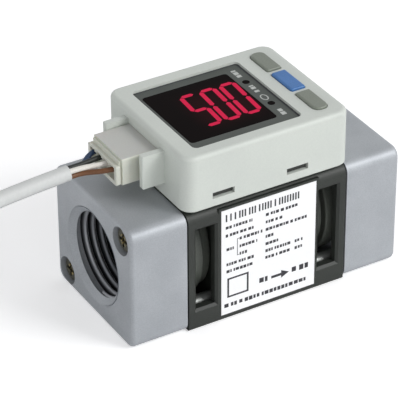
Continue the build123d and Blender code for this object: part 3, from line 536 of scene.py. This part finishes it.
def label_print():
    """Every block of the label's print."""
    chance = random.Random(11)
    u0, u1, v, height = HEADING
    low, high = v - height / 2, v + height / 2
    blocks = [bar(u, u + HEADING_STROKE, low, high) for u in spaced(u0, u1, chance)]
    for u0, u1, v in LEFT_ROWS + RIGHT_ROWS:
        blocks += dashes(u0, u1, v, ROW_HEIGHT, chance)
    for u0, u1, v in ARROW_ENDS:
        blocks += dashes(u0, u1, v, ARROW_END_HEIGHT, chance)
    blocks += dashes(*FOOT_LINE, chance)
    u0, u1, v, stem, head = ARROW
    blocks.append(bar(u0, u1 - head, v - stem / 2, v + stem / 2))
    blocks.append([(u1 - head, v - head / 2), (u1, v), (u1 - head, v + head / 2)])
    u0, u1, v0, v1, line = BRACKET
    blocks.append(bar(u0, u0 + line, v0, v1))
    blocks += [bar(u0 + line, u1, v0, v0 + line), bar(u0 + line, u1, v1 - line, v1)]
    return blocks + framed(*FRAME_MARK)


def film(name, shade, colour):
    """Printed film, faintly mottled."""
    material, place = start_finish(name)
    fibre = place.noise(0.5, 4.0)
    return feed(material, {
        "Base Color": fibre.mix(shade, colour),
        "Roughness": 0.4 + fibre * 0.1,
        "Normal": fibre.bump(0.002),
    })


def on_front(u, v, height):
    """Place on the label: u runs along the flow and v up."""
    return (u, LABEL_FRONT - height, v)


dress(film("label_film", paint(250, 251, 252), paint(255, 255, 255)), "name_label")
# This ink also draws the painted shade line round the panel.
ink = film("label_ink_and_shade_line", paint(34, 34, 38), paint(58, 58, 64))
prisms("label_print", label_print(), on_front, PRINT_DEPTH, ink)


# Display head
# Case and base are moulded in a light grey resin with a satin finish. The base is screwed to the
# body and the case snaps over it. The base's hooks stand behind the case's slots, their faces
# darkened by painted shade.

HEAD_TONES = (paint(203, 208, 202), paint(211, 216, 209), 0.35, 0.004, 0.45)
# Painted shade darkens the base beyond these distances from its middle, front and back.
HOOK_SHADE_SPAN = (14.5 * MM, 14.55 * MM)


def paint_hook_shade(material):
    """Painted shade: darkens what stands out to the hooks' faces, front and back, where the slots
    lie in shade.
    """
    shader = material.node_tree.nodes["Principled BSDF"]
    resin_tone = Socket(material.node_tree, shader.inputs["Base Color"].links[0].from_socket)
    place = resin_tone.add("ShaderNodeTexCoord", output="Object")
    hook = abs(place.parts()[1]).step(*HOOK_SHADE_SPAN)
    return feed(material, {"Base Color": hook.mix(resin_tone, paint(48, 50, 47))})


dress(resin("head_resin", *HEAD_TONES), "head_case")
dress(paint_hook_shade(resin("base_resin_hook_shade", *HEAD_TONES)), "head_base")


# Panel and display
# Grey moulded panel let into the head, with a smoked window over a red three-digit reading. White
# marks and two small lamps stand in the strip between the window and the keys. A dark line round
# the panel's edge is painted shade, for the gap round the panel.

PANEL_TOP = 40.9
# Painted shade line round the panel's edge: left, right, front and back, then its width.
PANEL_SHADE_LINE = (-15.48, 9.61, -13.0, 12.55, 0.4)
DIGIT_BOTTOM = -6.1
DIGIT_TOP = 6.2
DIGIT_SLANT = 0.065
DIGIT_LEFTS = (-8.35, -3.75, 0.95)
DIGIT_WIDTH = 3.1
STROKE = 1.0
STROKE_GAP = 0.1
READING = ("afgcd", "abcdef", "abcdef")
MARK_X = 7.3
MARK_ROWS = ((7.2, 10.3), (0.2, 3.2), (-10.2, -7.2))
MARK_HEIGHT = 1.1
MARK_OVAL = (-2.3, 0.8, 1.2, 0.24)
LAMP_YS = (-5.0, 4.9)
LAMP_DOT = 0.8
ROUND_STEPS = 20

# The stretches over which the window's glow fades, left and right in x, front and back in y.
GLOW_LEFT, GLOW_RIGHT = (-11.0, -5.0), (2.0, 7.0)
GLOW_FRONT, GLOW_BACK = (-10.0, -3.0), (2.0, 9.0)


def stroke(start, end):
    """Segment of a digit: a bar with pointed ends."""
    a, b = Vector(start), Vector(end)
    along = (b - a).normalized()
    across = Vector((-along.y, along.x)) * STROKE / 2
    a, b = a + along * STROKE_GAP, b - along * STROKE_GAP
    tip = along * STROKE / 2
    return [a, a + tip - across, b - tip - across, b, b - tip + across, a + tip + across]


def digit(left, lit):
    """Lit segments of a digit."""
    right, middle = left + DIGIT_WIDTH, (DIGIT_BOTTOM + DIGIT_TOP) / 2
    ends = {
        "a": ((left, DIGIT_TOP), (right, DIGIT_TOP)),
        "b": ((right, DIGIT_TOP), (right, middle)),
        "c": ((right, middle), (right, DIGIT_BOTTOM)),
        "d": ((left, DIGIT_BOTTOM), (right, DIGIT_BOTTOM)),
        "e": ((left, middle), (left, DIGIT_BOTTOM)),
        "f": ((left, DIGIT_TOP), (left, middle)),
        "g": ((left, middle), (right, middle)),
    }
    outlines = [stroke(*ends[name]) for name in lit]
    return [[(u + DIGIT_SLANT * (v - DIGIT_BOTTOM), v) for u, v in outline] for outline in outlines]


def on_panel(u, v, height):
    """Place on the panel: u runs along the flow and v to the back."""
    return (u, v, PANEL_TOP + height)


def lamp(name, dark, lit, strength):
    """Lamp behind smoked resin, a little brighter in patches."""
    material, place = start_finish(name, {
        "Base Color": dark,
        "Roughness": 0.4,
        "Specular IOR Level": 0.1,
        "Emission Strength": strength,
    })
    patch = place.noise(1.2, 1.0)
    return feed(material, {"Emission Color": (patch * 0.3).mix(lit, dark)})


def smoked_window(name):
    """Smoked window: nearly black, with a red glow round the digits."""
    material, place = start_finish(name, {
        "Roughness": 0.1,
        "Specular IOR Level": 0.02,
        "Emission Strength": 1.0,
    })
    x, y, _ = place.parts()
    along = x.step(*GLOW_LEFT) * (1 - x.step(*GLOW_RIGHT))
    across = y.step(*GLOW_FRONT) * (1 - y.step(*GLOW_BACK))
    haze = place.noise(2.0, 3.0)
    glow = along * across * (0.7 + haze * 0.3)
    return feed(material, {
        "Base Color": haze.mix(paint(9, 6, 6), paint(14, 9, 9)),
        "Emission Color": glow.mix(paint(4, 2, 2), paint(34, 6, 10)),
    })


def round_points(u, v, half_u, half_v, steps):
    """Points on an oval at these steps, of which ROUND_STEPS go round it."""
    turns = [math.tau * step / ROUND_STEPS for step in steps]
    return [(u + half_u * math.cos(turn), v + half_v * math.sin(turn)) for turn in turns]


def oval(u, v, half_u, half_v, line):
    """Ring with a thin line, as a chain of short blocks."""
    blocks = []
    for i in range(ROUND_STEPS):
        outer = round_points(u, v, half_u, half_v, (i, i + 1))
        inner = round_points(u, v, half_u - line, half_v - line, (i + 1, i))
        blocks.append(outer + inner)
    return blocks


def disc(u, v, radius):
    """Outline of a round spot."""
    return round_points(u, v, radius, radius, range(ROUND_STEPS))


def panel_marks():
    """White marks in the strip between the window and the keys."""
    chance = random.Random(5)
    blocks = []
    for v0, v1 in MARK_ROWS:
        row = dashes(v0, v1, MARK_X, MARK_HEIGHT, chance)
        blocks += [[(u, v) for v, u in block] for block in row]
    return blocks + oval(MARK_X, *MARK_OVAL)


dress(resin("panel_resin", paint(66, 71, 67), paint(80, 86, 81), 0.2, 0.008, 0.5), "display_panel")
dress(smoked_window("smoked_window"), "display_window")
dress(lamp("digit_module", paint(60, 10, 14), paint(120, 20, 30), 0.3), "digit_module")
dress(lamp("output_lamp", paint(26, 14, 14), paint(40, 16, 14), 0.3), "output_leds")
glow_red = lamp("digit_glow", paint(26, 0, 5), paint(216, 14, 70), 1.0)
reading = [outline for left, lit in zip(DIGIT_LEFTS, READING) for outline in digit(left, lit)]
prisms("digits", reading, on_panel, PRINT_DEPTH, glow_red)
white_ink = film("panel_ink", paint(176, 180, 176), paint(205, 208, 204))
prisms("panel_marks", panel_marks(), on_panel, PRINT_DEPTH, white_ink)
# Painted shade: a dark line in the label's ink round the panel, for the shadow in its gap.
prisms("panel_shade_line", framed(*PANEL_SHADE_LINE), on_panel, PRINT_DEPTH, ink)
lamp_dots = [disc(MARK_X, v, LAMP_DOT) for v in LAMP_YS]
lamp_smoke = smoked_window("lamp_smoke")
prisms("lamp_dots", lamp_dots, on_panel, PRINT_DEPTH, lamp_smoke)


# Keys
# Three caps moulded in satin resin, grey at the ends and blue in the middle. They travel 0.3 mm
# onto the switches under them.

key_grey = resin("key_grey", paint(121, 127, 116), paint(135, 141, 130), 0.3, 0.006, 0.4)
key_blue = resin("key_blue", paint(58, 108, 168), paint(74, 126, 190), 0.3, 0.006, 0.38)
dress(key_grey, "up_key", "down_key")
dress(key_blue, "set_key")


# Plug and its contacts
# Four-way plug moulded in cream nylon, pushed onto the pins at the head's left. Its tinned brass
# contacts are crimped to the leads.

PLUG_TOP = (38.35, 38.38)
PLUG_END = (-19.6, -19.4)


def tinned_brass():
    """Tinned brass, dull where the crimp tool marked it."""
    material, place = start_finish("tinned_brass", {"Metallic": 0.9})
    mark = place.noise(0.4, 3.0)
    return feed(material, {
        "Base Color": mark.mix(paint(168, 158, 124), paint(205, 198, 170)),
        "Roughness": 0.25 + mark * 0.25,
    })


def plug_nylon():
    """Cream nylon, with a greyer grained top."""
    material, place = start_finish("plug_nylon", {"Subsurface Weight": 0.05})
    x, _, z = place.parts()
    grain = place.noise(0.3, 3.0)
    top = z.step(*PLUG_TOP) * (1 - x.step(*PLUG_END))
    side = grain.mix(paint(207, 208, 195), paint(219, 219, 207))
    return feed(material, {
        "Base Color": top.mix(side, grain.mix(paint(192, 191, 186), paint(204, 202, 197))),
        "Roughness": 0.4 + grain * 0.15,
        "Normal": grain.bump(0.01),
    })


dress(plug_nylon(), "plug_housing", "pin_header")
dress(tinned_brass(), "plug_contacts", "header_pins")


# Cable
# Light grey cable with four cores, which enter the plug. The length that isn't in use is wound in a
# neat round coil of six layers with three turns each, held by a nylon tie. Its far end is bare.

SHEATH_RADIUS = 1.65
SHEATH_ROUTE = (
    (-36.6, 0.8, 35.1),
    (-46.5, 0.6, 34.6),
    (-57.6, 0.2, 33.6),
    (-68.2, -3.4, 30.0),
    (-77.8, -8.8, 24.9),
    (-87.0, -12.6, 20.6),
    (-97.0, -13.2, 18.15),
)
COIL_CENTRE = (-95.0, 6.6)
COIL_RADIUS = 16.5
COIL_COLUMNS = 3
COIL_ROWS = 6
TURN_POINTS = 24

# Where in a turn the cable starts to move over and then down, and how long each move takes.
MOVE_STARTS = (0.75, 0.875)
MOVE_TAKES = 0.125

# The tie presses the coil to these shares of its width and height, over this angle each way.
TIE_SQUEEZE = (0.8, 0.92)
TIE_REACH = math.radians(40)

LEADS = {
    "lead_blue": (paint(34, 54, 84), paint(52, 74, 106)),
    "lead_black": (paint(24, 28, 26), paint(44, 48, 45)),
    "lead_white": (paint(220, 216, 208), paint(240, 237, 230)),
    "lead_brown": (paint(98, 62, 36), paint(124, 82, 50)),
}


def smooth(share):
    """Share from 0 to 1 with level ends."""
    share = min(max(share, 0.0), 1.0)
    return share * share * (3 - 2 * share)


def coil_places():
    """(column, row) of each turn, from the outer top one, back and forth and down."""
    places = []
    for row in range(COIL_ROWS):
        columns = range(COIL_COLUMNS) if row % 2 == 0 else reversed(range(COIL_COLUMNS))
        places += [(column, row) for column in columns]
    return places


def coil_turns():
    """Points of the coil, clockwise from its front. Near its end a turn moves over, then down."""
    turns = coil_places()
    points = []
    for i, (column, row) in enumerate(turns):
        next_column, next_row = turns[min(i + 1, len(turns) - 1)]
        for k in range(TURN_POINTS):
            share = k / TURN_POINTS
            over, down = (smooth((share - start) / MOVE_TAKES) for start in MOVE_STARTS)
            across = (COIL_COLUMNS - 1) / 2 - column - over * (next_column - column)
            level = (COIL_ROWS - 1) / 2 - row - down * (next_row - row)
            angle = -math.pi / 2 - share * math.tau
            pull = smooth(1 - abs(share - 0.5) * math.tau / TIE_REACH)
            across *= 1 - pull * (1 - TIE_SQUEEZE[0])
            level *= 1 - pull * (1 - TIE_SQUEEZE[1])
            radius = COIL_RADIUS + across * 2 * SHEATH_RADIUS
            points.append((
                COIL_CENTRE[0] + radius * math.cos(angle),
                COIL_CENTRE[1] + radius * math.sin(angle),
                (COIL_ROWS / 2 + level) * 2 * SHEATH_RADIUS,
            ))
    return points[1:]


def soft_vinyl(name, shade, colour, cell=0.6):
    """Soft vinyl skin with a faint drag from the extruder."""
    material, place = start_finish(name)
    drag = place.noise(cell, 3.0)
    return feed(material, {
        "Base Color": drag.mix(shade, colour),
        "Roughness": 0.42 + drag * 0.14,
        "Normal": drag.bump(0.008),
    })


def cable_curve(points, material):
    """Cable as one smooth curve through the route and the coil."""
    curve = bpy.data.curves.new("cable", "CURVE")
    curve.dimensions = "3D"
    spline = curve.splines.new("NURBS")
    spline.points.add(len(points) - 1)
    for point, place in zip(spline.points, points):
        point.co = (*(Vector(place) * MM), 1.0)
    spline.order_u = 3
    spline.use_endpoint_u = True
    spline.resolution_u = 4
    curve.bevel_depth = SHEATH_RADIUS * MM
    curve.bevel_resolution = 4
    curve.use_fill_caps = True
    curve.materials.append(material)
    cable = bpy.data.objects.new("cable", curve)
    bpy.context.scene.collection.objects.link(cable)
    return cable


for lead, (shade, colour) in LEADS.items():
    dress(soft_vinyl(lead, shade, colour, 0.3), lead)
tie_nylon = resin("tie_nylon", paint(214, 214, 208), paint(228, 228, 222), 0.4, 0.01, 0.45)
dress(tie_nylon, "coil_tie")
sheath_vinyl = soft_vinyl("sheath_vinyl", paint(204, 206, 205), paint(218, 220, 218))
cable = cable_curve([*SHEATH_ROUTE, *coil_turns()], sheath_vinyl)
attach(cable, "housing")
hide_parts("cord_sheath", "cord_coil")


# Floor, light and camera
# White paper sweep under soft studio light: one large lamp at the right, above the front, and a
# pale room round it, darker overhead.

FLOOR_SIDE = 6.0
FLOOR_SHADE = (0.86, 0.86, 0.865, 1.0)
FLOOR_COLOUR = (0.88, 0.88, 0.885, 1.0)
FLOOR_LIFT = (0.42, 0.42, 0.42, 1.0)
SOFTBOX_PLACE = (0.48, -0.66, 0.66)
SOFTBOX_AIM = (0, 0, 0.02)
SOFTBOX_SIDE = 0.4
SOFTBOX_POWER = 5.2
BLACK = (0.0, 0.0, 0.0, 1.0)
WHITE = (1.0, 1.0, 1.0, 1.0)
ROOM_LOW = (1.05, 1.06, 1.07, 1.0)
ROOM_HIGH = (0.34, 0.34, 0.35, 1.0)
ROOM_SPAN = (0.05, 0.9)
CAMERA_PLACE = (-0.221774, -0.367080, 0.293179)
CAMERA_YAW = 0.530
CAMERA_PITCH = -0.572
CAMERA_ROLL = -0.005
LENS = 219.71
SENSOR = 36.0


def add_floor():
    """Pale floor that keeps the shadow, lifted towards white for the camera."""
    form = bmesh.new()
    half = FLOOR_SIDE / 2
    corners = ((-half, -half), (half, -half), (half, half), (-half, half))
    form.faces.new([form.verts.new((x, y, 0)) for x, y in corners])
    mesh = bpy.data.meshes.new("floor")
    form.to_mesh(mesh)
    form.free()
    material, place = start_finish("floor_paper", {
        "Roughness": 0.9,
        "Specular IOR Level": 0.1,
        "Emission Strength": 1.0,
    })
    seen = place.add("ShaderNodeLightPath", output="Is Camera Ray")
    feed(material, {
        "Base Color": place.noise(4.0, 2.0).mix(FLOOR_SHADE, FLOOR_COLOUR),
        "Emission Color": seen.mix(BLACK, FLOOR_LIFT),
    })
    mesh.materials.append(material)
    floor = bpy.data.objects.new("floor", mesh)
    bpy.context.scene.collection.objects.link(floor)


def add_lamp(name, place, aim, side, power):
    """Square soft lamp that looks at a point."""
    data = bpy.data.lights.new(name, "AREA")
    data.size = side
    data.energy = power
    light = bpy.data.objects.new(name, data)
    light.location = place
    light.rotation_euler = (Vector(aim) - Vector(place)).to_track_quat("-Z", "Y").to_euler()
    bpy.context.scene.collection.objects.link(light)


def add_sky():
    """White for the camera. The rest sees a studio: bright round the horizon, darker overhead."""
    world = bpy.data.worlds.new("sky")
    bpy.context.scene.world = world
    world.use_nodes = True
    tree = world.node_tree
    tree.nodes.clear()
    start = Socket(tree)
    seen = start.add("ShaderNodeLightPath", output="Is Camera Ray")
    height = start.add("ShaderNodeTexCoord").parts()[2]
    room = height.step(*ROOM_SPAN).mix(ROOM_LOW, ROOM_HIGH)
    soft = start.add("ShaderNodeBackground", {}, {"Color": room, "Strength": 1.0})
    white = start.add("ShaderNodeBackground", {}, {"Color": WHITE, "Strength": 1.0})
    both = start.add("ShaderNodeMixShader", {}, {0: seen, 1: soft, 2: white})
    output = tree.nodes.new("ShaderNodeOutputWorld")
    tree.links.new(both.link, output.inputs["Surface"])


def add_camera():
    """Long lens at the photograph's viewing angle."""
    data = bpy.data.cameras.new("camera")
    data.lens = LENS
    data.sensor_width = SENSOR
    data.clip_start = 0.01
    ahead = Vector((
        math.sin(CAMERA_YAW) * math.cos(CAMERA_PITCH),
        math.cos(CAMERA_YAW) * math.cos(CAMERA_PITCH),
        math.sin(CAMERA_PITCH),
    ))
    level = Vector((math.cos(CAMERA_YAW), -math.sin(CAMERA_YAW), 0.0))
    above = level.cross(ahead)
    right = math.cos(CAMERA_ROLL) * level + math.sin(CAMERA_ROLL) * above
    up = math.cos(CAMERA_ROLL) * above - math.sin(CAMERA_ROLL) * level
    turn = Matrix((right, up, -ahead)).transposed().to_4x4()
    camera = bpy.data.objects.new("camera", data)
    camera.matrix_world = Matrix.Translation(CAMERA_PLACE) @ turn
    bpy.context.scene.collection.objects.link(camera)
    bpy.context.scene.camera = camera


add_floor()
add_lamp("key_lamp", SOFTBOX_PLACE, SOFTBOX_AIM, SOFTBOX_SIDE, SOFTBOX_POWER)
add_sky()
add_camera()
bpy.context.scene.view_settings.view_transform = "Standard"
